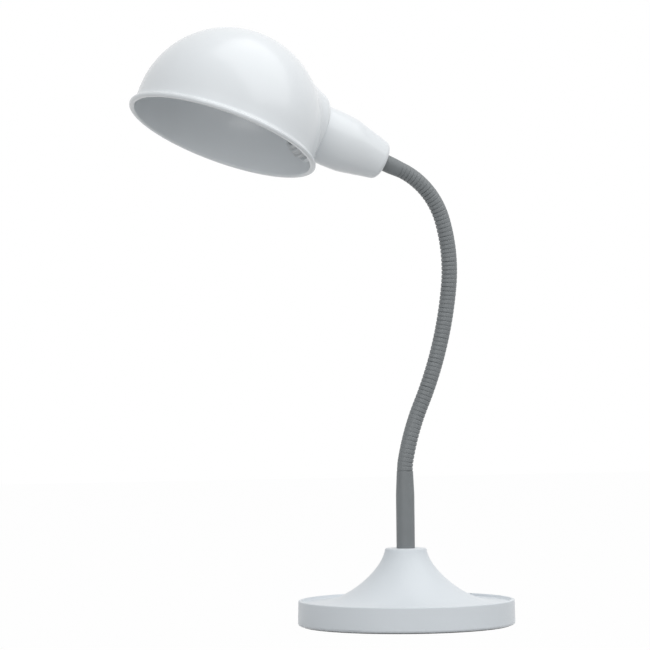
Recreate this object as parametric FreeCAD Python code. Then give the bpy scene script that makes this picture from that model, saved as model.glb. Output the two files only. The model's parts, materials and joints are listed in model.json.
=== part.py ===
import FreeCAD, Part

import math
import os

V = FreeCAD.Vector
UP = V(0, 0, 1)
ACROSS = V(0, 1, 0)

# Gooseneck desk lamp in millimetres. The origin is the centre of the foot pad's underside, +Z is up.
# The neck bends in the XZ plane at rest and the shade hangs out towards -X.

# Base: a moulded shell with a shallow dish and a trumpet in its middle
BASE_RADIUS = 82.5
BASE_DRAFT = 0.4
BASE_HEIGHT = 19.5
BASE_WALL = 2.2
SKIRT_CLEARANCE = 0.6
RIM_WIDTH = 2.4
RIM_SLOPE = 0.8
RIM_ROUNDING = 1.0
FOOT_ROUNDING = 2.0
DISH_DEPTH = 2.2
DISH_FLAT_WIDTH = 8.9
TRUMPET_HEIGHT = 58.5
TRUMPET_TOP_RADIUS = 16.0
TRUMPET_TOP_ROUNDING = 1.5
TRUMPET_TOP_PULL = 14.8
TRUMPET_TOP_LEAN = 7.7
TRUMPET_FOOT_PULL = 24.0
TRUMPET_TOP_WALL = 3.5

# Under the base: ballast, cover plate, pad and the screws that hold the plate
BALLAST_THICKNESS = 10.0
PAD_THICKNESS = 1.2
PAD_INSET = 1.2
PLATE_THICKNESS = 2.0
PLATE_CLEARANCE = 0.2
BOSS_COUNT = 4
BOSS_RADIUS = 3.2
BOSS_WALL_GAP = 1.4
BOSS_GAP = 1.0
SCREW_RADIUS = 1.25
SCREW_LENGTH = 9.0
SCREW_HEAD_RADIUS = 2.7
SCREW_HEAD_DEPTH = 1.5

# Inlet for a flex at the back of the base
INLET_BORE = 3.2
INLET_WALL = 1.1
INLET_FLANGE_RADIUS = 6.0
INLET_FLANGE_THICKNESS = 1.6
INLET_CLEARANCE = 0.1

# Threaded tubes that carry the neck, with their nuts
NIPPLE_RADIUS = 5.0
NIPPLE_BORE = 3.9
NIPPLE_CLEARANCE = 0.2
LOWER_NIPPLE_FOOT = 0.2
LOWER_NIPPLE_ABOVE = 7.5
NUT_ACROSS_FLATS = 14.0
NUT_THICKNESS = 4.0
WASHER_RADIUS = 10.0
WASHER_THICKNESS = 1.5
BALLAST_RECESS_RADIUS = 13.0
BALLAST_RECESS_DEPTH = 4.0
SLEEVE_NUT_THICKNESS = 5.0
SLEEVE_NUT_CLEARANCE = 0.1

# Neck: tangent arcs as length and turn in degrees, positive towards +X
NECK_ARCS = ((8.0, 10.5), (45.2, 13.5), (93.4, -18.0), (51.3, -22.7), (53.7, -51.4))
RIB_COUNT = 76
RIB_RADIUS = 6.0
RIB_SHOULDER = 0.14
RIB_VALLEY = 0.6
RIB_SHOULDER_SHARE = 0.2
SKIN_BORE = 5.0
CUFF_RADIUS = 5.55
CUFF_LENGTH = 12.0
LINK_COUNT = 12
LINK_RIB_COUNT = 6
FIRST_RIB_COUNT = 5
CORE_RADIUS = 4.8
CORE_BORE = 2.8
CORE_SOCKET_GAP = 0.25
CORE_TAIL_DEPTH = 10.0

# Sleeves over both ends of the neck
SLEEVE_RADIUS = 7.0
SLEEVE_BORE = 6.0
SLEEVE_LENGTH = 58.5
SLEEVE_TAPER_LENGTH = 18.0
SLEEVE_MOUTH_RADIUS = 6.2
SLEEVE_MOUTH_CLEARANCE = 0.05
TOP_SLEEVE_LENGTH = 15.0
TOP_SLEEVE_TAPER = 7.5
TOP_SLEEVE_RADIUS = 6.5
TOP_SLEEVE_MOUTH_RADIUS = 6.05

# Head: depths run from the cup's closed end towards the shade, along the head's axis
HEAD_SWIVEL = 3.0
TURN_CLEARANCE = 0.08
END_CLEARANCE = 0.1
CUP_WALL = 1.0
CUP_LENGTH = 58.0
CUP_FLAT_RADIUS = 7.5
CUP_NOSE_DEPTH = 1.5
CUP_NOSE_RADIUS = 14.6
CUP_NOSE_ROUNDING = 4.5
CUP_SHOULDER_DEPTH = 31.5
CUP_SHOULDER_RADIUS = 21.2
CUP_SHOULDER_ROUNDING = 40.0
CUP_BELLY_DEPTH = 44.0
CUP_BELLY_RADIUS = 21.8
CUP_BELLY_ROUNDING = 60.0
CUP_MOUTH_RADIUS = 21.4
UPPER_NIPPLE_LENGTH = 18.0
UPPER_NIPPLE_FLANGE_RADIUS = 5.6
UPPER_NIPPLE_FLANGE = 1.8

# Lampholder for a screw cap of 27 mm
CAP_BOSS_RADIUS = 7.6
CAP_BOSS_LENGTH = 8.0
CAP_BOSS_ROUNDING = 2.0
CAP_FLOOR = 2.2
CAP_SHOULDER_RADIUS = 13.0
CAP_SHOULDER_DEPTH = 12.8
CAP_SHOULDER_ROUNDING = 3.0
CAP_RADIUS = 18.9
CAP_RADIUS_DEPTH = 26.5
CAP_ROUNDING = 5.0
CAP_WALL = 2.0
CAP_STEP_DEPTH = 30.0
CAP_END_DEPTH = 40.0
HOLDER_BORE = 17.0
BLOCK_DEPTH = 28.0
BLOCK_THICKNESS = 11.0
BLOCK_CLEARANCE = 0.1
SHELL_BORE = 13.25
SHELL_WALL = 0.45
SHELL_LENGTH = 22.0
HOLDER_THREAD_RADIUS = 19.6
HOLDER_FLANGE_RADIUS = 20.3
HOLDER_FLANGE_THICKNESS = 2.5
HOLDER_MOUTH_DEPTH = 73.0
CONTACT_THICKNESS = 0.5
CONTACT_WIDTH = 6.0
CONTACT_RISE = 4.5
CONTACT_FOOT = 4.0
CONTACT_REACH = 7.0
CONTACT_SINK = 0.4
CONTACT_POCKET_GAP = 0.4
LUG_LENGTH = 7.0
TERMINAL_SPACING = 16.0
TERMINAL_SCREW_RADIUS = 1.5
TERMINAL_SCREW_DEPTH = 7.0
TERMINAL_HEAD_RADIUS = 2.4
TERMINAL_HEAD_HEIGHT = 1.8
GRUB_RADIUS = 1.5
GRUB_GAP = 0.1
GRUB_STAND_OUT = 1.0
GRUB_DEPTH = 5.0

# Ring that clamps the shade to the lampholder
RING_THREAD_CLEARANCE = 0.05
RING_RADIUS = 22.0
RING_LENGTH = 11.0
RING_GRIP_RADIUS = 24.0
RING_GRIP_START = 3.0
RING_GRIP_LENGTH = 3.0
RING_ROUNDING = 0.8

# Shade: a spun dome with a rolled lip and a conical collar at its side
SHADE_WALL = 0.9
DOME_RADIUS = 70.0
DOME_CENTRE_HEIGHT = 13.2
LIP_OVERHANG = 3.3
LIP_THICKNESS = 3.4
LIP_FLAT = 0.1
LIP_BLEND = 2.5
COLLAR_HEIGHT = 34.9
COLLAR_SETBACK = 2.1
COLLAR_RADIUS = 26.0
COLLAR_HALF_ANGLE = 15.0
COLLAR_ROUNDING = 4.0
COLLAR_ROOT_SHARE = 0.62
COLLAR_HOLE_CLEARANCE = 0.15
CUP_SEAT_CLEARANCE = 1.4


def rounded_edges(corners, closed=False):
    """Edges in the XZ plane through (x, z) corners. A third number rounds a corner with that radius."""
    points = [V(c[0], 0, c[1]) for c in corners]
    radii = [c[2] if len(c) > 2 else 0 for c in corners]
    count = len(points)
    cuts = []
    for i in range(count):
        here = points[i]
        if not radii[i]:
            cuts.append((here, None, here))
            continue
        back = (points[i - 1] - here).normalize()
        ahead = (points[(i + 1) % count] - here).normalize()
        half = back.getAngle(ahead) / 2
        reach = radii[i] / math.tan(half)
        bisector = (back + ahead).normalize()
        centre = here + bisector * (radii[i] / math.sin(half))
        cuts.append((here + back * reach, centre - bisector * radii[i], here + ahead * reach))
    edges = []
    for i in range(count):
        start, middle, end = cuts[i]
        if middle is not None:
            edges.append(Part.Arc(start, middle, end).toShape())
        following = cuts[(i + 1) % count][0]
        last = i == count - 1
        if (not last or closed) and end.distanceToPoint(following) > 1e-6:
            edges.append(Part.LineSegment(end, following).toShape())
    return edges


def turned(corners):
    """A solid of revolution about Z from a closed outline of (radius, height) corners."""
    face = Part.Face(Part.Wire(rounded_edges(corners, closed=True)))
    return face.revolve(V(0, 0, 0), UP, 360)


def ring(outer, inner, low, high):
    """A tube about Z between two heights."""
    return turned(((inner, low), (outer, low), (outer, high), (inner, high)))


def rod(radius, low, high):
    """A round bar about Z between two heights."""
    return Part.makeCylinder(radius, high - low, V(0, 0, low))


def hexagon(across_flats, bore, low, high):
    """A hexagon nut about Z with a round bore."""
    corner = across_flats / 2 / math.cos(math.pi / 6)
    points = []
    for i in range(7):
        angle = math.radians(60 * i)
        points.append(V(corner * math.cos(angle), corner * math.sin(angle), low))
    body = Part.Face(Part.makePolygon(points)).extrude(V(0, 0, high - low))
    return body.cut(rod(bore, low - 1, high + 1))


def around(shape, count, start=0.0):
    """Copies of a shape at equal angles about Z."""
    copies = []
    for i in range(count):
        copy = shape.copy()
        copy.rotate(V(0, 0, 0), UP, start + 360 * i / count)
        copies.append(copy)
    return copies


def save(name, shape):
    shape.exportStep(f"parts/{name}.step")
    print(f"{name:20s} {len(shape.Solids)} solid(s), valid {shape.isValid()}, {shape.Volume:.1f} mm3")


# Base levels, from the table upwards
plate_bottom = PAD_THICKNESS
plate_top = plate_bottom + PLATE_THICKNESS
dish_level = BASE_HEIGHT - DISH_DEPTH
ballast_top = dish_level - BASE_WALL
ballast_bottom = ballast_top - BALLAST_THICKNESS
cavity_radius = BASE_RADIUS - BASE_WALL
boss_ring_radius = cavity_radius - BOSS_WALL_GAP - BOSS_RADIUS
ballast_radius = boss_ring_radius - BOSS_RADIUS - BOSS_GAP
rim_crest = BASE_RADIUS - BASE_DRAFT - RIM_WIDTH
dish_flat_radius = rim_crest - RIM_SLOPE - DISH_FLAT_WIDTH
inlet_height = (plate_top + ballast_top) / 2
inlet_hole = INLET_BORE + INLET_WALL + INLET_CLEARANCE
sleeve_top = TRUMPET_HEIGHT + SLEEVE_LENGTH


def trumpet_curve():
    """The concave outline from the trumpet's top edge down to the dish."""
    lean = math.radians(TRUMPET_TOP_LEAN)
    top = V(TRUMPET_TOP_RADIUS, 0, TRUMPET_HEIGHT - TRUMPET_TOP_ROUNDING)
    below_top = top + V(math.sin(lean), 0, -math.cos(lean)) * TRUMPET_TOP_PULL
    foot = V(dish_flat_radius, 0, dish_level)
    before_foot = foot - V(TRUMPET_FOOT_PULL, 0, 0)
    curve = Part.BezierCurve()
    curve.setPoles([top, below_top, before_foot, foot])
    return curve


def trumpet_inside(curve, steps=12):
    """The same outline one wall thickness further in, below the top wall."""
    points = []
    for i in range(steps + 1):
        share = i / steps
        along = curve.tangent(share)[0]
        inward = V(along.z, 0, -along.x)
        point = curve.value(share) + inward * BASE_WALL
        if point.z < TRUMPET_HEIGHT - TRUMPET_TOP_WALL - BASE_WALL:
            points.append(point)
    inside = Part.BSplineCurve()
    inside.interpolate(points)
    return inside, points[0], points[-1]


def make_base_shell():
    outside = trumpet_curve()
    inside, inside_top, inside_foot = trumpet_inside(outside)
    hole = NIPPLE_RADIUS + NIPPLE_CLEARANCE
    under_top = TRUMPET_HEIGHT - TRUMPET_TOP_WALL
    top_edge = V(TRUMPET_TOP_RADIUS, 0, TRUMPET_HEIGHT - TRUMPET_TOP_ROUNDING)
    top = rounded_edges((
        (hole, under_top),
        (hole, TRUMPET_HEIGHT),
        (TRUMPET_TOP_RADIUS, TRUMPET_HEIGHT, TRUMPET_TOP_ROUNDING),
        (top_edge.x, top_edge.z),
    ))
    rim = rounded_edges((
        (dish_flat_radius, dish_level),
        (rim_crest - RIM_SLOPE, dish_level, RIM_ROUNDING),
        (rim_crest, BASE_HEIGHT, RIM_ROUNDING / 2),
        (BASE_RADIUS - BASE_DRAFT, BASE_HEIGHT, RIM_ROUNDING),
        (BASE_RADIUS, SKIRT_CLEARANCE, FOOT_ROUNDING),
        (cavity_radius, SKIRT_CLEARANCE),
        (cavity_radius, ballast_top),
        (inside_foot.x, inside_foot.z),
    ))
    crown = rounded_edges((
        (inside_top.x, inside_top.z),
        (inside_top.x, under_top),
        (hole, under_top),
    ))
    edges = top + [outside.toShape()] + rim + [inside.toShape()] + crown
    wire = Part.Wire(Part.__sortEdges__(edges))
    shell = Part.Face(wire).revolve(V(0, 0, 0), UP, 360)
    boss = rod(BOSS_RADIUS, plate_top, ballast_top + BASE_WALL / 2)
    boss.translate(V(boss_ring_radius, 0, 0))
    pilot = rod(SCREW_RADIUS, plate_bottom, plate_bottom + SCREW_LENGTH)
    pilot.translate(V(boss_ring_radius, 0, 0))
    half_turn = 180 / BOSS_COUNT
    shell = shell.fuse(around(boss, BOSS_COUNT, half_turn))
    shell = shell.cut(Part.makeCompound(around(pilot, BOSS_COUNT, half_turn)))
    inlet_start = V(0, cavity_radius - BASE_WALL, inlet_height)
    inlet = Part.makeCylinder(inlet_hole, BASE_WALL * 4, inlet_start, ACROSS)
    return shell.cut(inlet)


def make_ballast():
    disc = ring(ballast_radius, NIPPLE_RADIUS + NIPPLE_CLEARANCE, ballast_bottom, ballast_top)
    recess = rod(BALLAST_RECESS_RADIUS, ballast_bottom - 1, ballast_bottom + BALLAST_RECESS_DEPTH)
    return disc.cut(recess)


def countersunk(low, length, head_radius, head_depth, shank_radius):
    """A flat-head screw that points up, with its head at the bottom."""
    return turned((
        (0, low),
        (head_radius, low),
        (shank_radius, low + head_depth),
        (shank_radius, low + length),
        (0, low + length),
    ))


def make_plate_screws():
    screw = countersunk(plate_bottom, SCREW_LENGTH, SCREW_HEAD_RADIUS, SCREW_HEAD_DEPTH, SCREW_RADIUS)
    screw.translate(V(boss_ring_radius, 0, 0))
    return around(screw, BOSS_COUNT, 180 / BOSS_COUNT)


def make_base_plate():
    plate = rod(cavity_radius - PLATE_CLEARANCE, plate_bottom, plate_top)
    return plate.cut(Part.makeCompound(make_plate_screws()))


def make_inlet():
    """A rubber bush with a flange on each side of the wall, along +Y."""
    neck = INLET_BORE + INLET_WALL
    outside = BASE_RADIUS + INLET_CLEARANCE
    inside = cavity_radius - INLET_CLEARANCE
    inner_flange = inside - INLET_FLANGE_THICKNESS
    curve_gap = cavity_radius - math.sqrt(cavity_radius**2 - INLET_FLANGE_RADIUS**2)
    bush = turned((
        (INLET_BORE, inner_flange - curve_gap),
        (INLET_FLANGE_RADIUS, inner_flange - curve_gap),
        (INLET_FLANGE_RADIUS, inside - curve_gap),
        (neck, inside - curve_gap),
        (neck, outside),
        (INLET_FLANGE_RADIUS, outside),
        (INLET_FLANGE_RADIUS, outside + INLET_FLANGE_THICKNESS, INLET_FLANGE_THICKNESS / 2),
        (INLET_BORE, outside + INLET_FLANGE_THICKNESS),
    ))
    bush.rotate(V(0, 0, 0), V(1, 0, 0), -90)
    bush.translate(V(0, 0, inlet_height))
    return bush


# Levels of the clamping stack on the lower nipple
recess_top = ballast_bottom + BALLAST_RECESS_DEPTH
washer_bottom = recess_top - WASHER_THICKNESS
locknut_bottom = washer_bottom - NUT_THICKNESS
nipple_bottom = locknut_bottom - LOWER_NIPPLE_FOOT
nipple_top = TRUMPET_HEIGHT + LOWER_NIPPLE_ABOVE


def make_sleeve(length, radius, bore, mouth_radius, taper, cuff_depth):
    """A tube that narrows at its top end onto the neck skin's cuff."""
    mouth_bore = CUFF_RADIUS + SLEEVE_MOUTH_CLEARANCE
    step = length - cuff_depth
    inside = [(bore, 0), (bore, step), (mouth_bore, step), (mouth_bore, length)]
    outside = [(mouth_radius, length), (radius, length - taper, 2 * taper), (radius, 0)]
    return turned(inside + outside)


class Path:
    """The neck's centreline. Distance 0 is the lower sleeve's mouth."""

    def __init__(self):
        self.length = sum(length for length, turn in NECK_ARCS)
        lead_in = sleeve_top
        lead_out = CUP_LENGTH
        self.pieces = []
        place = V(0, 0, 0)
        heading = 0.0
        start = -lead_in
        for length, turn in ((lead_in, 0.0),) + NECK_ARCS + ((lead_out, 0.0),):
            self.pieces.append((start, length, turn, place, heading))
            place = self.along(place, heading, length, turn, length)[0]
            heading += turn
            start += length
        self.end_heading = heading

    def along(self, place, heading, length, turn, distance):
        """The point and heading a distance along one piece."""
        if not turn:
            return place + self.direction(heading) * distance, heading
        radius = length / math.radians(turn)
        there = heading + turn * distance / length
        centre = place + self.side(heading) * radius
        return centre - self.side(there) * radius, there

    def direction(self, heading):
        angle = math.radians(heading)
        return V(math.sin(angle), 0, math.cos(angle))

    def side(self, heading):
        angle = math.radians(heading)
        return V(math.cos(angle), 0, -math.sin(angle))

    def at(self, distance):
        """The point and heading at a distance along the centreline."""
        for start, length, turn, place, heading in self.pieces:
            if distance <= start + length + 1e-9:
                break
        return self.along(place, heading, length, turn, distance - start)

    def placement(self, distance):
        """Puts a shape that stands on the XY plane onto the centreline."""
        point, heading = self.at(distance)
        return FreeCAD.Placement(point, FreeCAD.Rotation(ACROSS, heading))

    def bar(self, radius, first, last):
        """A round bar that follows the centreline between two distances."""
        solids = []
        for start, length, turn, place, heading in self.pieces:
            low = max(first, start)
            high = min(last, start + length)
            if high - low < 1e-6:
                continue
            disc = Part.Face(Part.Wire(Part.makeCircle(radius)))
            disc.Placement = self.placement(low + 1e-9)
            point, there = self.at(low + 1e-9)
            if not turn:
                solids.append(disc.extrude(self.direction(heading) * (high - low)))
                continue
            centre = point + self.side(there) * (length / math.radians(turn))
            angle = turn * (high - low) / length
            axis = ACROSS if angle > 0 else -ACROSS
            solids.append(disc.revolve(centre, axis, abs(angle)))
        return solids[0].fuse(solids[1:]) if len(solids) > 1 else solids[0]


path = Path()
rib_pitch = path.length / RIB_COUNT


def pivot_distance(number):
    """Where pivot 1, 2, ... lies along the neck."""
    return (FIRST_RIB_COUNT + LINK_RIB_COUNT * (number - 1)) * rib_pitch


def make_core(number):
    """One length of the conduit inside the skin: a ball at its top end, a socket at its foot."""
    low = pivot_distance(number)
    high = pivot_distance(number + 1)
    if number == 0:
        low = nipple_top - sleeve_top
    if number == LINK_COUNT:
        high = path.length + TOP_SLEEVE_LENGTH - UPPER_NIPPLE_FLANGE - END_CLEARANCE
    core = path.bar(CORE_RADIUS, low, high)
    bore_low = low
    bore_high = high
    if number < LINK_COUNT:
        ball = Part.makeSphere(CORE_RADIUS)
        ball.Placement = path.placement(high)
        core = core.fuse(ball)
        bore_high = high + CORE_RADIUS
    if number == 0:
        bore_low = low - CORE_TAIL_DEPTH
        core = core.fuse(path.bar(NIPPLE_BORE, bore_low, low))
    if number == LINK_COUNT:
        bore_high = high + CORE_TAIL_DEPTH
        core = core.fuse(path.bar(NIPPLE_BORE, high, bore_high))
    core = core.cut(path.bar(CORE_BORE, bore_low - 1, bore_high + 1))
    if number > 0:
        socket = Part.makeSphere(CORE_RADIUS + CORE_SOCKET_GAP)
        socket.Placement = path.placement(low)
        core = core.cut(socket)
    return core.removeSplitter()


def skin_circle(distance, depth):
    """A closed ring of the skin's outline, a depth below the ribs' crests, with its seam towards +Y."""
    circle = Part.makeCircle(RIB_RADIUS - depth)
    circle.rotate(V(0, 0, 0), UP, 90)
    wire = Part.Wire(circle)
    wire.Placement = path.placement(distance) * wire.Placement
    return wire


def make_skin(number):
    """One ribbed length of the skin, across pivot 1, 2, ..., from mid-link to mid-link."""
    half = LINK_RIB_COUNT // 2
    middle = FIRST_RIB_COUNT + LINK_RIB_COUNT * (number - 1)
    first = 0 if number == 1 else middle - half
    last = RIB_COUNT if number == LINK_COUNT else middle + half
    profile = (
        (0.0, RIB_VALLEY),
        (RIB_SHOULDER_SHARE, RIB_SHOULDER),
        (0.5, 0.0),
        (1 - RIB_SHOULDER_SHARE, RIB_SHOULDER),
    )
    circles = []
    for rib in range(first, last):
        for share, depth in profile:
            circles.append(skin_circle((rib + share) * rib_pitch, depth))
    circles.append(skin_circle(last * rib_pitch, RIB_VALLEY))
    skin = Part.makeLoft(circles, True, True)
    low = first * rib_pitch
    high = last * rib_pitch
    if number == 1:
        low -= CUFF_LENGTH
        skin = skin.fuse(path.bar(CUFF_RADIUS, low, 0))
    if number == LINK_COUNT:
        high += CUFF_LENGTH
        skin = skin.fuse(path.bar(CUFF_RADIUS, path.length, high))
    return skin.cut(path.bar(SKIN_BORE, low - 1, high + 1))


# The head's frame: local Z runs from the cup's end into the shade, local X to the top of the shade
cup_end, heading_at_cup = path.at(path.length + TOP_SLEEVE_LENGTH)
head_axis = path.direction(heading_at_cup)
head_up = path.side(heading_at_cup)
swivel = FreeCAD.Rotation(head_axis, HEAD_SWIVEL)
head_up = swivel.multVec(head_up)
head_side = head_axis.cross(head_up)
to_head = FreeCAD.Matrix(
    head_up.x, head_side.x, head_axis.x, cup_end.x,
    head_up.y, head_side.y, head_axis.y, cup_end.y,
    head_up.z, head_side.z, head_axis.z, cup_end.z,
    0, 0, 0, 1,
)
head_placement = FreeCAD.Placement(to_head)

# Where the collar ends and how wide the lip is
collar_reach = DOME_RADIUS - COLLAR_SETBACK
lip_radius = DOME_RADIUS + LIP_OVERHANG

# The shade's frame: local Z is the dome's axis from the rim plane up, local X points at the cup
dome_depth = CUP_LENGTH + collar_reach
to_shade = FreeCAD.Matrix(
    0, 0, 1, -COLLAR_HEIGHT,
    0, 1, 0, 0,
    -1, 0, 0, dome_depth,
    0, 0, 0, 1,
)
shade_placement = FreeCAD.Placement(to_head.multiply(to_shade))


def in_head(shape):
    shape.Placement = head_placement * shape.Placement
    return shape


def make_cup():
    def outline(wall):
        return [
            (CUP_FLAT_RADIUS, wall),
            (CUP_NOSE_RADIUS - wall, CUP_NOSE_DEPTH + wall, CUP_NOSE_ROUNDING - wall),
            (CUP_SHOULDER_RADIUS - wall, CUP_SHOULDER_DEPTH, CUP_SHOULDER_ROUNDING - wall),
            (CUP_BELLY_RADIUS - wall, CUP_BELLY_DEPTH, CUP_BELLY_ROUNDING - wall),
            (CUP_MOUTH_RADIUS - wall, CUP_LENGTH),
        ]
    hole = NIPPLE_RADIUS + TURN_CLEARANCE
    corners = [(hole, 0)] + outline(0) + outline(CUP_WALL)[::-1] + [(hole, CUP_WALL)]
    return turned(corners)


cap_start = CUP_WALL + END_CLEARANCE
cap_floor_depth = cap_start + CAP_BOSS_LENGTH + CAP_FLOOR


def make_lampholder_cap():
    hole = NIPPLE_RADIUS + TURN_CLEARANCE
    cap = turned((
        (hole, cap_start),
        (CAP_BOSS_RADIUS, cap_start),
        (CAP_BOSS_RADIUS, cap_start + CAP_BOSS_LENGTH, CAP_BOSS_ROUNDING),
        (CAP_SHOULDER_RADIUS, CAP_SHOULDER_DEPTH, CAP_SHOULDER_ROUNDING),
        (CAP_RADIUS, CAP_RADIUS_DEPTH, CAP_ROUNDING),
        (CAP_RADIUS, CAP_STEP_DEPTH),
        (HOLDER_BORE, CAP_STEP_DEPTH),
        (HOLDER_BORE, CAP_END_DEPTH),
        (HOLDER_BORE - CAP_WALL, CAP_END_DEPTH),
        (HOLDER_BORE - CAP_WALL, BLOCK_DEPTH),
        (HOLDER_BORE - 2 * CAP_WALL, BLOCK_DEPTH),
        (CAP_SHOULDER_RADIUS - CAP_WALL, cap_floor_depth + CAP_WALL),
        (CAP_SHOULDER_RADIUS - CAP_WALL, cap_floor_depth),
        (hole, cap_floor_depth),
    ))
    return cap.cut(make_grub(clearance=0))


def make_grub(clearance=GRUB_GAP):
    """A grub screw through the cap's boss, square to the axis."""
    start = NIPPLE_RADIUS + TURN_CLEARANCE + clearance
    length = CAP_BOSS_RADIUS + GRUB_STAND_OUT - start
    return Part.makeCylinder(GRUB_RADIUS, length, V(-start, 0, GRUB_DEPTH), V(-1, 0, 0))


def make_upper_nipple():
    flange_low = -UPPER_NIPPLE_FLANGE - END_CLEARANCE
    return turned((
        (NIPPLE_BORE, flange_low),
        (UPPER_NIPPLE_FLANGE_RADIUS, flange_low),
        (UPPER_NIPPLE_FLANGE_RADIUS, -END_CLEARANCE),
        (NIPPLE_RADIUS, -END_CLEARANCE),
        (NIPPLE_RADIUS, UPPER_NIPPLE_LENGTH),
        (NIPPLE_BORE, UPPER_NIPPLE_LENGTH),
    ))


def make_holder_skirt():
    flange_low = CUP_LENGTH - HOLDER_FLANGE_THICKNESS
    return turned((
        (HOLDER_BORE, CAP_STEP_DEPTH),
        (CAP_RADIUS, CAP_STEP_DEPTH),
        (CAP_RADIUS, flange_low),
        (HOLDER_FLANGE_RADIUS, flange_low),
        (HOLDER_FLANGE_RADIUS, CUP_LENGTH),
        (HOLDER_THREAD_RADIUS, CUP_LENGTH),
        (HOLDER_THREAD_RADIUS, HOLDER_MOUTH_DEPTH, 0.6),
        (HOLDER_BORE, HOLDER_MOUTH_DEPTH, 0.6),
    ))


block_front = BLOCK_DEPTH + BLOCK_THICKNESS
contact_tip = CONTACT_FOOT / 2
contact_seat = block_front - CONTACT_SINK - CONTACT_THICKNESS - CONTACT_RISE


def terminal_screws():
    """Two cheese-head screws that enter the block from behind."""
    screws = []
    for side in (-1, 1):
        head = rod(TERMINAL_HEAD_RADIUS, BLOCK_DEPTH - TERMINAL_HEAD_HEIGHT, BLOCK_DEPTH)
        shank = rod(TERMINAL_SCREW_RADIUS, BLOCK_DEPTH, BLOCK_DEPTH + TERMINAL_SCREW_DEPTH)
        screw = head.fuse(shank).removeSplitter()
        screw.translate(V(0, side * TERMINAL_SPACING / 2, 0))
        screws.append(screw)
    return screws


def make_contact_block():
    """A round block with the two screws behind and a pocket for the centre contact in front."""
    block = rod(HOLDER_BORE - CAP_WALL - BLOCK_CLEARANCE, BLOCK_DEPTH, block_front)
    length = CONTACT_REACH + contact_tip + 2 * CONTACT_POCKET_GAP
    width = CONTACT_WIDTH + 2 * CONTACT_POCKET_GAP
    corner = V(-CONTACT_REACH - CONTACT_POCKET_GAP, -width / 2, contact_seat)
    pocket = Part.makeBox(length, width, block_front - contact_seat, corner)
    return block.cut(Part.makeCompound(terminal_screws() + [pocket]))


def make_centre_contact():
    """A bent strip that springs against the lamp cap's tip."""
    bottom = ((-CONTACT_REACH, contact_seat), (-CONTACT_REACH + CONTACT_FOOT, contact_seat))
    rise = contact_seat + CONTACT_RISE
    lower = bottom + ((-contact_tip / 2, rise), (contact_tip, rise))
    upper = tuple((x, z + CONTACT_THICKNESS) for x, z in lower[::-1])
    face = Part.Face(Part.Wire(rounded_edges(lower + upper, closed=True)))
    face.translate(V(0, -CONTACT_WIDTH / 2, 0))
    return face.extrude(V(0, CONTACT_WIDTH, 0))


def make_side_contact():
    """A lug that lies along the outside of the screw shell."""
    lug = Part.makeBox(SHELL_BORE, CONTACT_WIDTH, LUG_LENGTH, V(0, -CONTACT_WIDTH / 2, block_front))
    shell_radius = SHELL_BORE + SHELL_WALL
    band = ring(shell_radius + CONTACT_THICKNESS, shell_radius, block_front, block_front + LUG_LENGTH)
    lug.translate(V(SHELL_WALL + CONTACT_THICKNESS, 0, 0))
    return band.common(lug)


def make_shade_ring():
    start = CUP_LENGTH + SHADE_WALL
    grip_start = start + RING_GRIP_START
    grip_end = grip_start + RING_GRIP_LENGTH
    bore = HOLDER_THREAD_RADIUS + RING_THREAD_CLEARANCE
    return turned((
        (bore, start),
        (RING_RADIUS, start),
        (RING_RADIUS, grip_start),
        (RING_GRIP_RADIUS, grip_start, RING_ROUNDING),
        (RING_GRIP_RADIUS, grip_end, RING_ROUNDING),
        (RING_RADIUS, grip_end),
        (RING_RADIUS, start + RING_LENGTH, RING_ROUNDING),
        (bore, start + RING_LENGTH),
    ))


def dome_solid(wall):
    """The dome and its skirt as one full body, one wall thickness smaller for the inside."""
    radius = DOME_RADIUS - wall
    ball = Part.makeSphere(radius, V(0, 0, DOME_CENTRE_HEIGHT))
    below = rod(2 * radius, DOME_CENTRE_HEIGHT - 2 * radius, DOME_CENTRE_HEIGHT)
    skirt = rod(radius, -wall, DOME_CENTRE_HEIGHT)
    return ball.cut(below).fuse(skirt)


def collar_solid(wall):
    """The conical collar as one full body about the head's axis, out to its end face."""
    slope = math.tan(math.radians(COLLAR_HALF_ANGLE))
    end = collar_reach - wall
    root = collar_reach * COLLAR_ROOT_SHARE
    end_radius = COLLAR_RADIUS + slope * wall - wall / math.cos(math.radians(COLLAR_HALF_ANGLE))
    cone = turned((
        (0, root),
        (end_radius + slope * (end - root), root),
        (end_radius, end, COLLAR_ROUNDING - wall),
        (0, end),
    ))
    cone.rotate(V(0, 0, 0), ACROSS, 90)
    cone.translate(V(0, 0, COLLAR_HEIGHT))
    return cone


def beyond_collar(radius, start):
    """What is cut away where the cup sits against the collar's end."""
    return Part.makeCylinder(radius, DOME_RADIUS, V(start, 0, COLLAR_HEIGHT), V(1, 0, 0))


def make_shade():
    seat = CUP_BELLY_RADIUS + CUP_SEAT_CLEARANCE
    outside = dome_solid(0).fuse(collar_solid(0)).cut(beyond_collar(seat, collar_reach))
    inside = dome_solid(SHADE_WALL).fuse(collar_solid(SHADE_WALL))
    inside = inside.cut(beyond_collar(seat + SHADE_WALL, collar_reach - SHADE_WALL))
    lip = turned((
        (DOME_RADIUS - SHADE_WALL, 0),
        (lip_radius, 0, (LIP_THICKNESS - LIP_FLAT) / 2),
        (lip_radius, LIP_THICKNESS, (LIP_THICKNESS - LIP_FLAT) / 2),
        (DOME_RADIUS, LIP_THICKNESS, LIP_BLEND / 2),
        (DOME_RADIUS, LIP_THICKNESS + LIP_BLEND),
        (DOME_RADIUS - SHADE_WALL, LIP_THICKNESS + LIP_BLEND),
    ))
    hole = beyond_collar(HOLDER_THREAD_RADIUS + COLLAR_HOLE_CLEARANCE, collar_reach - 2 * SHADE_WALL)
    shade = outside.fuse(lip).cut(inside).cut(hole)
    shade.Placement = shade_placement
    return shade


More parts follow.
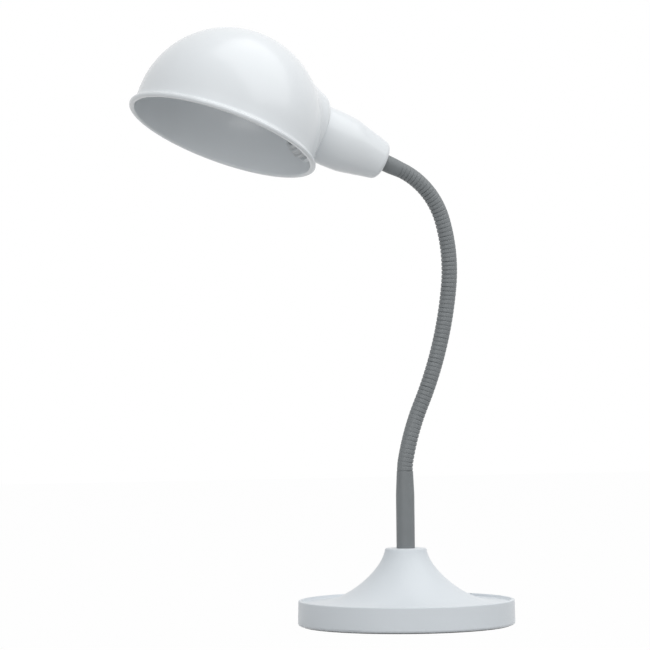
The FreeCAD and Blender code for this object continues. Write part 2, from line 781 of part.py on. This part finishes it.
def main():
    os.makedirs("parts", exist_ok=True)
    save("base_shell", make_base_shell())
    save("ballast_disc", make_ballast())
    save("base_plate", make_base_plate())
    save("base_pad", rod(cavity_radius - PAD_INSET, 0, PAD_THICKNESS))
    save("plate_screws", Part.makeCompound(make_plate_screws()))
    save("cord_grommet", make_inlet())
    save("lower_nipple", ring(NIPPLE_RADIUS, NIPPLE_BORE, nipple_bottom, nipple_top))
    save("lower_washer", ring(WASHER_RADIUS, NIPPLE_RADIUS, washer_bottom, recess_top))
    save("lower_locknut", hexagon(NUT_ACROSS_FLATS, NIPPLE_RADIUS, locknut_bottom, washer_bottom))
    sleeve_nut_radius = SLEEVE_BORE - SLEEVE_NUT_CLEARANCE
    nut_top = TRUMPET_HEIGHT + SLEEVE_NUT_THICKNESS
    save("sleeve_nut", ring(sleeve_nut_radius, NIPPLE_RADIUS, TRUMPET_HEIGHT, nut_top))
    mouth = SLEEVE_MOUTH_RADIUS
    sleeve = make_sleeve(
        SLEEVE_LENGTH, SLEEVE_RADIUS, SLEEVE_BORE, mouth, SLEEVE_TAPER_LENGTH, CUFF_LENGTH
    )
    sleeve.translate(V(0, 0, TRUMPET_HEIGHT))
    save("lower_sleeve", sleeve)
    for number in range(LINK_COUNT + 1):
        save(f"neck_core_{number:02d}", make_core(number))
    for number in range(1, LINK_COUNT + 1):
        save(f"neck_skin_{number:02d}", make_skin(number))
    top_bore = UPPER_NIPPLE_FLANGE_RADIUS + SLEEVE_MOUTH_CLEARANCE
    mouth = TOP_SLEEVE_MOUTH_RADIUS
    top_sleeve = make_sleeve(
        TOP_SLEEVE_LENGTH, TOP_SLEEVE_RADIUS, top_bore, mouth, TOP_SLEEVE_TAPER, CUFF_LENGTH
    )
    top_sleeve.rotate(V(0, 0, 0), V(1, 0, 0), 180)
    save("top_sleeve", in_head(top_sleeve))
    save("upper_nipple", in_head(make_upper_nipple()))
    nut_low = cap_floor_depth + END_CLEARANCE
    locknut = hexagon(NUT_ACROSS_FLATS, NIPPLE_RADIUS, nut_low, nut_low + NUT_THICKNESS)
    save("upper_locknut", in_head(locknut))
    save("socket_cup", in_head(make_cup()))
    save("lampholder_cap", in_head(make_lampholder_cap()))
    save("lampholder_skirt", in_head(make_holder_skirt()))
    save("cap_grub_screw", in_head(make_grub()))
    save("contact_block", in_head(make_contact_block()))
    screw_shell = ring(SHELL_BORE + SHELL_WALL, SHELL_BORE, block_front, block_front + SHELL_LENGTH)
    save("screw_shell", in_head(screw_shell))
    save("centre_contact", in_head(make_centre_contact()))
    save("side_contact", in_head(make_side_contact()))
    save("terminal_screws", in_head(Part.makeCompound(terminal_screws())))
    save("shade_ring", in_head(make_shade_ring()))
    save("shade", make_shade())


main()
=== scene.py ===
import json
import math
import random

import bmesh
import bpy
from mathutils import Matrix, Vector


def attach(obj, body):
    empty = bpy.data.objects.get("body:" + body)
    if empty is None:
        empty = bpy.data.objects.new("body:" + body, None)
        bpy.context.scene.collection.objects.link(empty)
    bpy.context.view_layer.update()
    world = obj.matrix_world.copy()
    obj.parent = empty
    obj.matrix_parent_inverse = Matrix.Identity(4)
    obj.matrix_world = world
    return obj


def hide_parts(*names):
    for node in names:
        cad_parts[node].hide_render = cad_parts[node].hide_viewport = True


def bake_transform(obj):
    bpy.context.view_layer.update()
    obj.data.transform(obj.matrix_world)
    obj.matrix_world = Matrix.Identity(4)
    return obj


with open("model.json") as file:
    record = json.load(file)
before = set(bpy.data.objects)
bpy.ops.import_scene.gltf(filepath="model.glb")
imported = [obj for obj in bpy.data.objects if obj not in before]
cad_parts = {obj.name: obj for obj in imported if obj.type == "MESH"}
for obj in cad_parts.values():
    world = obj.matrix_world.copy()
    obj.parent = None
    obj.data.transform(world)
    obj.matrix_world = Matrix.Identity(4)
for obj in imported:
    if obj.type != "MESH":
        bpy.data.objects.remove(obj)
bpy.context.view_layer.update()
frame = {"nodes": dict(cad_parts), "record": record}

MM = 0.001

# Neck, as in the frame: tangent arcs as length and turn in degrees, from the lower sleeve's mouth up
SLEEVE_TOP = 117.0 * MM
NECK_ARCS = ((8.0, 10.5), (45.2, 13.5), (93.4, -18.0), (51.3, -22.7), (53.7, -51.4))
NECK_LENGTH = sum(length for length, turn in NECK_ARCS) * MM
RIB_COUNT = 76
RIB_PITCH = NECK_LENGTH / RIB_COUNT
RIB_RADIUS = 6.0 * MM
RIBS_PER_LINK = 6
RIBS_BEFORE_FIRST_PIVOT = 5
LINK_COUNT = 12
SKIN_BORE = 5.0 * MM
CUFF_RADIUS = 5.55 * MM
CUFF_LENGTH = 12.0 * MM
TOP_SLEEVE_LENGTH = 15.0 * MM

# Looks of the neck's ribs: a crowned band between narrow grooves, deepest inside a bend
RIB_SIDES = 64
RIB_SHARES = (0.0, 0.045, 0.1, 0.17, 0.28, 0.42, 0.58, 0.72, 0.83, 0.9, 0.955)
GROOVE_DEPTH = 0.34 * MM
GROOVE_SHARE = 0.085
CROWN_DEPTH = 0.13 * MM
BEND_FOR_FULL_EFFECT = 7.0
BEND_SMOOTHING = 9.0 * MM
INSIDE_GAIN = 0.85
RIB_UNEVENNESS = 0.22
RIB_SEED = 7
CROWN_POWER = 4
CUFF_SEAM = 0.3 * MM
SKIN_BORE_STEPS = 14

# Head
HEAD_SWIVEL = 3.0
CUP_LENGTH = 58.0 * MM
CUP_BELLY_RADIUS = 21.8 * MM
CUP_SEAT_CLEARANCE = 1.4 * MM
SHADE_WALL = 0.9 * MM
DOME_RADIUS = 70.0 * MM
DOME_CENTRE_HEIGHT = 13.2 * MM
LIP_RADIUS = 73.3 * MM
LIP_THICKNESS = 3.4 * MM
LIP_BLEND = 2.5 * MM
COLLAR_HEIGHT = 34.9 * MM
COLLAR_REACH = 67.9 * MM
COLLAR_RADIUS = 26.0 * MM
COLLAR_HALF_ANGLE = 15.0
COLLAR_HOLE_RADIUS = 19.75 * MM

# Looks of the shade: how softly the collar runs into the dome, round the collar
SHADE_COLUMNS = 288
SHADE_OUTER_ROWS = 140
SHADE_INNER_ROWS = 90
ROWS_TOWARDS_COLLAR = 1.7
BLEND_TOP = 7.2 * MM
BLEND_SIDE = 3.2 * MM
BLEND_BOTTOM = 0.6 * MM
COLLAR_EDGE_TOP = 10.0 * MM
COLLAR_EDGE_BOTTOM = 3.5 * MM
COLLAR_FADE_FROM = 15.0 * MM
COLLAR_FADE_TO = 32.0 * MM
SEAT_STEP = 0.5 * MM
HOLE_MARGIN = 1.2 * MM

# Looks of the lip: steps of its blend and its bead, and its inner edge as (past the inner wall, height)
LIP_BLEND_STEPS = 7
LIP_BLEND_SPREAD = 0.6
LIP_BEAD_STEPS = 14
LIP_INNER_EDGE = ((1.2, 0.0), (0.5, 0.12), (0.1, 0.55), (0.0, 1.6), (0.0, 3.6))

# Camera, in the row frame: place, view direction, roll in degrees and lens
CAMERA_PLACE = Vector((-0.7724, -1.8458, 0.1650))
CAMERA_FORWARD = Vector((0.35819, 0.93311, 0.03186))
CAMERA_ROLL = 0.6
CAMERA_LENS = 145.37
CAMERA_SENSOR = 36.0

# Light and floor
WORLD_TINT = (0.96, 0.98, 1.0)
WORLD_LIGHT = 0.46
KEY_PLACE = (0.68, -0.71, 1.97)
KEY_TARGET = (-0.12, 0.0, 0.40)
KEY_ALONG = (0.85, -1.61, -0.90)
KEY_LENGTH = 3.4
KEY_WIDTH = 2.1
KEY_POWER = 31.5
FILL_PLACE = (-1.35, -1.55, 0.66)
FILL_TARGET = (0.0, 0.0, 0.22)
FILL_SIZE = 1.6
FILL_POWER = 11.0
FLOOR_HALF_SIZE = 4.0
FLOOR_REFLECTANCE = 0.45
FLOOR_ROUGHNESS = 0.9
FLOOR_GLOSS = 0.1
FLOOR_WHITENESS = 0.985


def smooth_step(low, high, value):
    share = min(max((value - low) / (high - low), 0.0), 1.0)
    return share * share * (3 - 2 * share)


def smooth_max(a, b, width):
    if width <= 0:
        return max(a, b)
    reach = max(width - abs(a - b), 0.0) / width
    return max(a, b) + reach * reach * width / 4


def smooth_min(a, b, width):
    return -smooth_max(-a, -b, width)


def mesh_object(name, points, faces, flat=False):
    """A new object from points and faces, with its normals made to point outwards."""
    mesh = bpy.data.meshes.new(name)
    mesh.from_pydata([tuple(p) for p in points], [], faces)
    work = bmesh.new()
    work.from_mesh(mesh)
    bmesh.ops.recalc_face_normals(work, faces=work.faces)
    work.to_mesh(mesh)
    work.free()
    mesh.polygons.foreach_set("use_smooth", [not flat] * len(mesh.polygons))
    mesh.update()
    obj = bpy.data.objects.new(name, mesh)
    bpy.context.scene.collection.objects.link(obj)
    return obj


def ring_faces(rings, sides, closed):
    """Quads between rings of points, and from the last ring back to the first where closed."""
    faces = []
    for ring in range(rings if closed else rings - 1):
        low = ring * sides
        high = (ring + 1) % rings * sides
        for i in range(sides):
            j = (i + 1) % sides
            faces.append((low + i, low + j, high + j, high + i))
    return faces


# Materials

NOISE_LOW = 0.3
NOISE_HIGH = 0.7
ENAMEL_CLOUD = 12.0
ENAMEL_COLOUR_SPREAD = 0.005
ENAMEL_ROUGH_SPREAD = 0.01
COAT_ROUGHNESS = 0.12


def new_material(name, color, roughness, metallic=0.0):
    material = bpy.data.materials.new(name)
    material.use_nodes = True
    shader = material.node_tree.nodes["Principled BSDF"]
    shader.inputs["Base Color"].default_value = (*color, 1.0)
    shader.inputs["Roughness"].default_value = roughness
    shader.inputs["Metallic"].default_value = metallic
    return material, shader


def noise(material, scale, detail):
    """A noise in object coordinates, which here are the row frame's metres."""
    nodes = material.node_tree.nodes
    links = material.node_tree.links
    place = nodes.new("ShaderNodeTexCoord")
    texture = nodes.new("ShaderNodeTexNoise")
    texture.inputs["Scale"].default_value = scale
    texture.inputs["Detail"].default_value = detail
    links.new(place.outputs["Object"], texture.inputs["Vector"])
    return texture.outputs["Fac"]


def vary(material, socket, source, low, high, target):
    """Drives a shader's socket between two values or colours by a 0 to 1 source."""
    nodes = material.node_tree.nodes
    links = material.node_tree.links
    if isinstance(low, float):
        node = nodes.new("ShaderNodeMapRange")
        node.inputs["From Min"].default_value = NOISE_LOW
        node.inputs["From Max"].default_value = NOISE_HIGH
        node.inputs["To Min"].default_value = low
        node.inputs["To Max"].default_value = high
        links.new(source, node.inputs["Value"])
        links.new(node.outputs["Result"], target.inputs[socket])
        return
    node = nodes.new("ShaderNodeValToRGB")
    node.color_ramp.elements[0].position = NOISE_LOW
    node.color_ramp.elements[1].position = NOISE_HIGH
    node.color_ramp.elements[0].color = (*low, 1.0)
    node.color_ramp.elements[1].color = (*high, 1.0)
    links.new(source, node.inputs["Fac"])
    links.new(node.outputs["Color"], target.inputs[socket])


def bump(material, source, distance, strength, target):
    nodes = material.node_tree.nodes
    node = nodes.new("ShaderNodeBump")
    node.inputs["Strength"].default_value = strength
    node.inputs["Distance"].default_value = distance
    material.node_tree.links.new(source, node.inputs["Height"])
    material.node_tree.links.new(node.outputs["Normal"], target.inputs["Normal"])


def scaled(color, factor):
    return tuple(c * factor for c in color)


def finish_material(name, color, roughness, metallic=0.0, colour_spread=0.04, rough_spread=0.05,
                    grain=900.0, grain_depth=0.02 * MM, grain_strength=0.15, cloud=60.0):
    """A material with slow colour variation, uneven gloss and a fine grain."""
    material, shader = new_material(name, color, roughness, metallic)
    clouds = noise(material, cloud, 2.0)
    fine = noise(material, grain, 4.0)
    dark = scaled(color, 1 - colour_spread)
    pale = scaled(color, 1 + colour_spread)
    vary(material, "Base Color", clouds, dark, pale, shader)
    vary(material, "Roughness", fine, roughness - rough_spread, roughness + rough_spread, shader)
    bump(material, fine, grain_depth, grain_strength, shader)
    return material


def enamel(name, color, roughness, specular, coat):
    """Stoved enamel: smooth and glossy, with hardly any unevenness."""
    material, shader = new_material(name, color, roughness)
    shader.inputs["Specular IOR Level"].default_value = specular
    clouds = noise(material, ENAMEL_CLOUD, 1.0)
    dark = scaled(color, 1 - ENAMEL_COLOUR_SPREAD)
    pale = scaled(color, 1 + ENAMEL_COLOUR_SPREAD)
    vary(material, "Base Color", clouds, dark, pale, shader)
    smooth = roughness - ENAMEL_ROUGH_SPREAD
    rough = roughness + ENAMEL_ROUGH_SPREAD
    vary(material, "Roughness", clouds, smooth, rough, shader)
    shader.inputs["Coat Weight"].default_value = coat
    shader.inputs["Coat Roughness"].default_value = COAT_ROUGHNESS
    return material


WHITE = (0.80, 0.83, 0.85)
BASE_WHITE = (0.750, 0.790, 0.822)
GREY = (0.20, 0.215, 0.222)

materials = {
    "base_enamel": enamel("base_enamel", BASE_WHITE, 0.33, 0.22, 0.0),
    "shade_enamel": enamel("shade_enamel", WHITE, 0.26, 0.4, 0.25),
    "cup_enamel": enamel("cup_enamel", WHITE, 0.28, 0.5, 0.2),
    "grey_pvc": finish_material("grey_pvc", GREY, 0.50, grain=1500.0, grain_strength=0.2),
    "neck_pvc": finish_material("neck_pvc", GREY, 0.46, grain=1500.0, grain_strength=0.2),
    "cast_iron": finish_material("cast_iron", (0.05, 0.05, 0.053), 0.75, 0.6, grain=500.0,
                                 grain_depth=0.3 * MM, grain_strength=0.5, colour_spread=0.2),
    "base_plate_plastic": finish_material("base_plate_plastic", (0.02, 0.02, 0.022), 0.6, grain=1200.0),
    "pad_rubber": finish_material("pad_rubber", (0.03, 0.03, 0.032), 0.9, grain=1000.0,
                                  grain_depth=0.1 * MM, grain_strength=0.5),
    "grommet_rubber": finish_material("grommet_rubber", (0.05, 0.05, 0.055), 0.75),
    "zinc_steel": finish_material("zinc_steel", (0.62, 0.63, 0.65), 0.32, 1.0),
    "conduit_steel": finish_material("conduit_steel", (0.45, 0.46, 0.48), 0.38, 1.0),
    "brass": finish_material("brass", (0.72, 0.52, 0.24), 0.28, 1.0),
    "holder_thermoplastic": finish_material("holder_thermoplastic", (0.66, 0.68, 0.69), 0.42),
    "block_ceramic": finish_material("block_ceramic", (0.74, 0.72, 0.66), 0.55),
}

slot_of = {part["node"]: part["material_slot"] for part in frame["record"]["subparts"]}
for node, obj in frame["nodes"].items():
    obj.data.materials.clear()
    obj.data.materials.append(materials[slot_of[node]])


# Neck


class Centreline:
    """The neck's centreline in the XZ plane, by distance from the lower sleeve's mouth."""

    def __init__(self):
        self.pieces = []
        place = Vector((0, 0, 0))
        heading = 0.0
        start = -SLEEVE_TOP
        arcs = [(SLEEVE_TOP, 0.0)]
        arcs += [(length * MM, math.radians(turn)) for length, turn in NECK_ARCS]
        arcs += [(CUP_LENGTH, 0.0)]
        for length, turn in arcs:
            self.pieces.append((start, length, turn, place, heading))
            place = self.along(place, heading, length, turn, length)[0]
            heading += turn
            start += length

    def along(self, place, heading, length, turn, distance):
        if not turn:
            return place + direction(heading) * distance, heading
        radius = length / turn
        there = heading + turn * distance / length
        return place + (side(heading) - side(there)) * radius, there

    def at(self, distance):
        for start, length, turn, place, heading in self.pieces:
            if distance <= start + length + 1e-9:
                break
        return self.along(place, heading, length, turn, distance - start)

    def bend(self, distance):
        """The curvature in 1/m, averaged over a short stretch."""
        low = self.at(max(distance - BEND_SMOOTHING, 0.0))[1]
        high = self.at(min(distance + BEND_SMOOTHING, NECK_LENGTH))[1]
        return (high - low) / (2 * BEND_SMOOTHING)


def direction(heading):
    return Vector((math.sin(heading), 0, math.cos(heading)))


def side(heading):
    return Vector((math.cos(heading), 0, -math.sin(heading)))


centreline = Centreline()


def skin_ring(distance, radius_at):
    point, heading = centreline.at(distance)
    right = side(heading)
    ring = []
    for i in range(RIB_SIDES):
        angle = 2 * math.pi * i / RIB_SIDES
        out = right * math.cos(angle) + Vector((0, math.sin(angle), 0))
        ring.append(point + out * radius_at(angle))
    return ring


rib_random = random.Random(RIB_SEED)
rib_depth = [1 + RIB_UNEVENNESS * rib_random.uniform(-1, 1) for rib in range(RIB_COUNT + 1)]


def rib_radius(rib, share, angle, bend):
    """The skin's radius at a share of one rib's length, deepest where the bend squeezes it."""
    to_groove = min(share, 1 - share)
    groove = rib if share < 0.5 else rib + 1
    squeeze = math.tanh(bend / BEND_FOR_FULL_EFFECT) * math.cos(angle) * INSIDE_GAIN
    depth = GROOVE_DEPTH * rib_depth[groove] * (1 + squeeze)
    notch = depth * math.exp(-((to_groove / GROOVE_SHARE) ** 2))
    crown = CROWN_DEPTH * (1 + squeeze) * (1 - 2 * to_groove) ** CROWN_POWER
    return RIB_RADIUS - notch - crown


def make_skin(number):
    """One link's ribbed skin, with a cuff inside the sleeve at either end of the neck."""
    half = RIBS_PER_LINK // 2
    middle = RIBS_BEFORE_FIRST_PIVOT + RIBS_PER_LINK * (number - 1)
    first = 0 if number == 1 else middle - half
    last = RIB_COUNT if number == LINK_COUNT else middle + half
    rings = []
    if number == 1:
        for depth in (CUFF_LENGTH, CUFF_LENGTH / 2, CUFF_SEAM):
            rings.append(skin_ring(-depth, lambda angle: CUFF_RADIUS))
    for rib in range(first, last):
        for share in RIB_SHARES:
            distance = (rib + share) * RIB_PITCH
            bend = centreline.bend(distance)
            rings.append(skin_ring(distance, lambda angle: rib_radius(rib, share, angle, bend)))
    end = last * RIB_PITCH
    bend = centreline.bend(end)
    rings.append(skin_ring(end, lambda angle: rib_radius(last, 0.0, angle, bend)))
    if number == LINK_COUNT:
        for depth in (CUFF_SEAM, CUFF_LENGTH / 2, CUFF_LENGTH):
            rings.append(skin_ring(NECK_LENGTH + depth, lambda angle: CUFF_RADIUS))
    low = first * RIB_PITCH - (CUFF_LENGTH if number == 1 else 0.0)
    high = end + (CUFF_LENGTH if number == LINK_COUNT else 0.0)
    for i in range(SKIN_BORE_STEPS + 1):
        distance = high + (low - high) * i / SKIN_BORE_STEPS
        rings.append(skin_ring(distance, lambda angle: SKIN_BORE))
    points = [point for ring in rings for point in ring]
    faces = ring_faces(len(rings), RIB_SIDES, closed=True)
    skin = mesh_object(f"ribbed_skin_{number:02d}", points, faces)
    skin.data.materials.append(materials["neck_pvc"])
    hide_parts(f"neck_skin_{number:02d}")
    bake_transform(skin)


for number in range(1, LINK_COUNT + 1):
    make_skin(number)


# Shade


cup_end, cup_heading = centreline.at(NECK_LENGTH + TOP_SLEEVE_LENGTH)
head_axis = direction(cup_heading)
head_up = Matrix.Rotation(math.radians(HEAD_SWIVEL), 3, head_axis) @ side(cup_heading)
head_side = head_axis.cross(head_up)
rim_centre = cup_end + head_axis * (CUP_LENGTH + COLLAR_REACH) - head_up * COLLAR_HEIGHT
shade_axes = Matrix((-head_axis, head_side, head_up)).transposed()


def shade_point(x, y, z):
    """From the shade's own frame, with x towards the cup and z along the dome's axis."""
    return rim_centre + shade_axes @ Vector((x, y, z))


collar_slope = math.tan(math.radians(COLLAR_HALF_ANGLE))
collar_rise = COLLAR_HEIGHT - DOME_CENTRE_HEIGHT
seat_radius = CUP_BELLY_RADIUS + CUP_SEAT_CLEARANCE


def collar_distance(ray, wall):
    """How far a ray from the dome's centre runs before it leaves the collar's cone."""
    reach = COLLAR_REACH - wall
    end_radius = COLLAR_RADIUS + collar_slope * wall - wall / math.cos(math.radians(COLLAR_HALF_ANGLE))
    at_centre = end_radius + collar_slope * reach
    a = ray.y**2 + ray.z**2 - (collar_slope * ray.x) ** 2
    b = 2 * at_centre * collar_slope * ray.x - 2 * collar_rise * ray.z
    c = collar_rise**2 - at_centre**2
    inside = b * b - 4 * a * c
    if inside < 0 or b + math.sqrt(inside) <= 0:
        return 0.0
    return -2 * c / (b + math.sqrt(inside))


def shade_distance(ray, wall):
    """How far a ray from the dome's centre runs before it meets the shade's surface."""
    dome = DOME_RADIUS - wall
    if ray.z < 0:
        dome /= math.hypot(ray.x, ray.y)
    if ray.x <= 0:
        return dome
    cone = collar_distance(ray, wall)
    if cone * ray.x < COLLAR_FADE_FROM:
        return dome
    reach = COLLAR_REACH - wall
    plane = reach / ray.x
    off_y = ray.y * plane
    off_z = ray.z * plane - collar_rise
    off_axis = math.hypot(off_y, off_z)
    upness = off_z / off_axis if off_axis else 0.0
    far = BLEND_TOP if upness > 0 else BLEND_BOTTOM
    width = BLEND_SIDE + (far - BLEND_SIDE) * abs(upness)
    width *= smooth_step(COLLAR_FADE_FROM, COLLAR_FADE_TO, cone * ray.x)
    edge = COLLAR_EDGE_BOTTOM + (COLLAR_EDGE_TOP - COLLAR_EDGE_BOTTOM) * (1 + upness) / 2
    surface = smooth_max(dome, smooth_min(cone, plane, edge), width)
    seat = seat_radius + wall
    recess = smooth_step(seat + SEAT_STEP, seat - SEAT_STEP, off_axis)
    return surface + (min(surface, plane) - surface) * recess


def ray_from_map(z):
    """The ray for a point of the map that shows all directions round the dome's axis as a plane."""
    polar = 2 * math.atan(abs(z))
    if abs(z) < 1e-9:
        return Vector((0, 0, 1))
    return Vector((z.real / abs(z) * math.sin(polar), z.imag / abs(z) * math.sin(polar), math.cos(polar)))


def map_radius(x, z):
    """Where a point of the shade's middle plane lies on that map."""
    return math.tan((math.pi / 2 - math.atan2(z - DOME_CENTRE_HEIGHT, x)) / 2)


blend_height = LIP_THICKNESS + LIP_BLEND
rim_on_map = map_radius(DOME_RADIUS, blend_height)
hole_low_on_map = map_radius(COLLAR_REACH, COLLAR_HEIGHT - COLLAR_HOLE_RADIUS - HOLE_MARGIN)
hole_high_on_map = map_radius(COLLAR_REACH, COLLAR_HEIGHT + COLLAR_HOLE_RADIUS + HOLE_MARGIN)
hole_centre = (hole_low_on_map + hole_high_on_map) / 2
hole_on_map = (hole_low_on_map - hole_high_on_map) / 2


def shade_surface(wall, rows):
    """Rings of points from the collar's hole to the rim, between two circles of the map."""
    rings = []
    for row in range(rows + 1):
        share = (row / rows) ** ROWS_TOWARDS_COLLAR
        centre = hole_centre * (1 - share)
        radius = hole_on_map + (rim_on_map - hole_on_map) * share
        ring = []
        for i in range(SHADE_COLUMNS):
            angle = 2 * math.pi * i / SHADE_COLUMNS
            ray = ray_from_map(complex(centre + radius * math.cos(angle), radius * math.sin(angle)))
            ring.append(ray * shade_distance(ray, wall) + Vector((0, 0, DOME_CENTRE_HEIGHT)))
        rings.append(ring)
    return rings


def hole_edge(ring, wall):
    """The collar's hole, with each point beside its neighbour on the surface."""
    edge = []
    for point in ring:
        out = Vector((0, point.y, point.z - COLLAR_HEIGHT)).normalized() * COLLAR_HOLE_RADIUS
        edge.append(Vector((COLLAR_REACH - wall, out.y, out.z + COLLAR_HEIGHT)))
    return edge


def lip_profile():
    """The rolled lip as (radius, height), from the outer wall round to the inner wall."""
    bead = LIP_THICKNESS / 2
    profile = []
    for i in range(1, LIP_BLEND_STEPS):
        angle = math.radians(90 * i / LIP_BLEND_STEPS)
        profile.append((
            DOME_RADIUS + LIP_BLEND * LIP_BLEND_SPREAD * (1 - math.cos(angle)),
            blend_height - LIP_BLEND * math.sin(angle),
        ))
    for i in range(LIP_BEAD_STEPS + 1):
        angle = math.radians(90 - 180 * i / LIP_BEAD_STEPS)
        profile.append((
            LIP_RADIUS - bead + bead * math.cos(angle),
            bead + bead * math.sin(angle),
        ))
    inner = DOME_RADIUS - SHADE_WALL
    return profile + [(inner + past * MM, height * MM) for past, height in LIP_INNER_EDGE]


def make_shade():
    """The shade as one closed skin: outside, lip and inside."""
    outer = shade_surface(0.0, SHADE_OUTER_ROWS)
    inner = shade_surface(SHADE_WALL, SHADE_INNER_ROWS)
    rings = [hole_edge(outer[0], 0.0)] + outer
    for radius, height in lip_profile():
        ring = []
        for point in outer[-1]:
            flat = Vector((point.x, point.y, 0)).normalized() * radius
            ring.append(Vector((flat.x, flat.y, height)))
        rings.append(ring)
    rings += inner[::-1] + [hole_edge(inner[0], SHADE_WALL)]
    points = [shade_point(*point) for ring in rings for point in ring]
    faces = ring_faces(len(rings), SHADE_COLUMNS, closed=True)
    shade = mesh_object("spun_shade", points, faces)
    shade.data.materials.append(materials["shade_enamel"])
    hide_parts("shade")
    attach(shade, "head")


make_shade()


# Camera, light and floor


def make_camera():
    data = bpy.data.cameras.new("camera")
    data.lens = CAMERA_LENS
    data.sensor_width = CAMERA_SENSOR
    camera = bpy.data.objects.new("camera", data)
    forward = CAMERA_FORWARD.normalized()
    right = forward.cross(Vector((0, 0, 1))).normalized()
    up = right.cross(forward)
    roll = math.radians(CAMERA_ROLL)
    rolled_right = right * math.cos(roll) - up * math.sin(roll)
    rolled_up = right * math.sin(roll) + up * math.cos(roll)
    turn = Matrix((rolled_right, rolled_up, -forward)).transposed().to_4x4()
    camera.matrix_world = Matrix.Translation(CAMERA_PLACE) @ turn
    bpy.context.scene.collection.objects.link(camera)
    bpy.context.scene.camera = camera


def area_light(name, place, target, size, power):
    """A round soft light that faces a target."""
    data = bpy.data.lights.new(name, "AREA")
    data.shape = "DISK"
    data.size = size
    data.energy = power
    light = bpy.data.objects.new(name, data)
    aim = (Vector(target) - Vector(place)).to_track_quat("-Z", "Y")
    light.matrix_world = Matrix.Translation(place) @ aim.to_matrix().to_4x4()
    bpy.context.scene.collection.objects.link(light)
    return light


def panel_light(name, place, target, along, length, width, power):
    """A long soft box that faces a target, with its length as near to a direction as that allows."""
    light = area_light(name, place, target, length, power)
    light.data.shape = "RECTANGLE"
    light.data.size_y = width
    back = (Vector(place) - Vector(target)).normalized()
    side_way = back.cross(Vector(along)).normalized()
    turn = Matrix((side_way.cross(back), side_way, back)).transposed()
    light.matrix_world = Matrix.Translation(place) @ turn.to_4x4()
    return light


def seen_or_lit(nodes, links):
    """1 for rays that show a surface to the camera, straight or through gloss or glass."""
    path = nodes.new("ShaderNodeLightPath")
    first = nodes.new("ShaderNodeMath")
    first.operation = "MAXIMUM"
    second = nodes.new("ShaderNodeMath")
    second.operation = "MAXIMUM"
    links.new(path.outputs["Is Camera Ray"], first.inputs[0])
    links.new(path.outputs["Is Glossy Ray"], first.inputs[1])
    links.new(first.outputs[0], second.inputs[0])
    links.new(path.outputs["Is Transmission Ray"], second.inputs[1])
    return second.outputs[0]


def make_world(ambient):
    """Plain light from all sides, behind a background that is seen as white."""
    world = bpy.data.worlds.new("studio")
    world.use_nodes = True
    bpy.context.scene.world = world
    nodes = world.node_tree.nodes
    links = world.node_tree.links
    lit = nodes["Background"]
    lit.inputs["Color"].default_value = (*WORLD_TINT, 1.0)
    lit.inputs["Strength"].default_value = ambient
    seen = nodes.new("ShaderNodeBackground")
    seen.inputs["Color"].default_value = (1.0, 1.0, 1.0, 1.0)
    mix = nodes.new("ShaderNodeMixShader")
    links.new(seen_or_lit(nodes, links), mix.inputs["Fac"])
    links.new(lit.outputs[0], mix.inputs[1])
    links.new(seen.outputs[0], mix.inputs[2])
    links.new(mix.outputs[0], nodes["World Output"].inputs["Surface"])


def make_floor(half_size, reflectance, whiteness):
    """A pale floor that mostly shows the white background, and keeps some of the object's shadow."""
    points = [(-half_size, -half_size, 0), (half_size, -half_size, 0),
              (half_size, half_size, 0), (-half_size, half_size, 0)]
    floor = mesh_object("floor", points, [(0, 1, 2, 3)], flat=True)
    material, shader = new_material("floor", (reflectance, reflectance, reflectance), FLOOR_ROUGHNESS)
    shader.inputs["Specular IOR Level"].default_value = FLOOR_GLOSS
    nodes = material.node_tree.nodes
    links = material.node_tree.links
    white = nodes.new("ShaderNodeEmission")
    share = nodes.new("ShaderNodeMath")
    share.operation = "MULTIPLY"
    share.inputs[1].default_value = whiteness
    mix = nodes.new("ShaderNodeMixShader")
    links.new(seen_or_lit(nodes, links), share.inputs[0])
    links.new(share.outputs[0], mix.inputs["Fac"])
    links.new(shader.outputs[0], mix.inputs[1])
    links.new(white.outputs[0], mix.inputs[2])
    links.new(mix.outputs[0], nodes["Material Output"].inputs["Surface"])
    floor.data.materials.append(material)


make_camera()
make_world(WORLD_LIGHT)
make_floor(FLOOR_HALF_SIZE, FLOOR_REFLECTANCE, FLOOR_WHITENESS)
panel_light("key", KEY_PLACE, KEY_TARGET, KEY_ALONG, KEY_LENGTH, KEY_WIDTH, KEY_POWER)
area_light("fill", FILL_PLACE, FILL_TARGET, FILL_SIZE, FILL_POWER)

scene = bpy.context.scene
scene.view_settings.view_transform = "Standard"
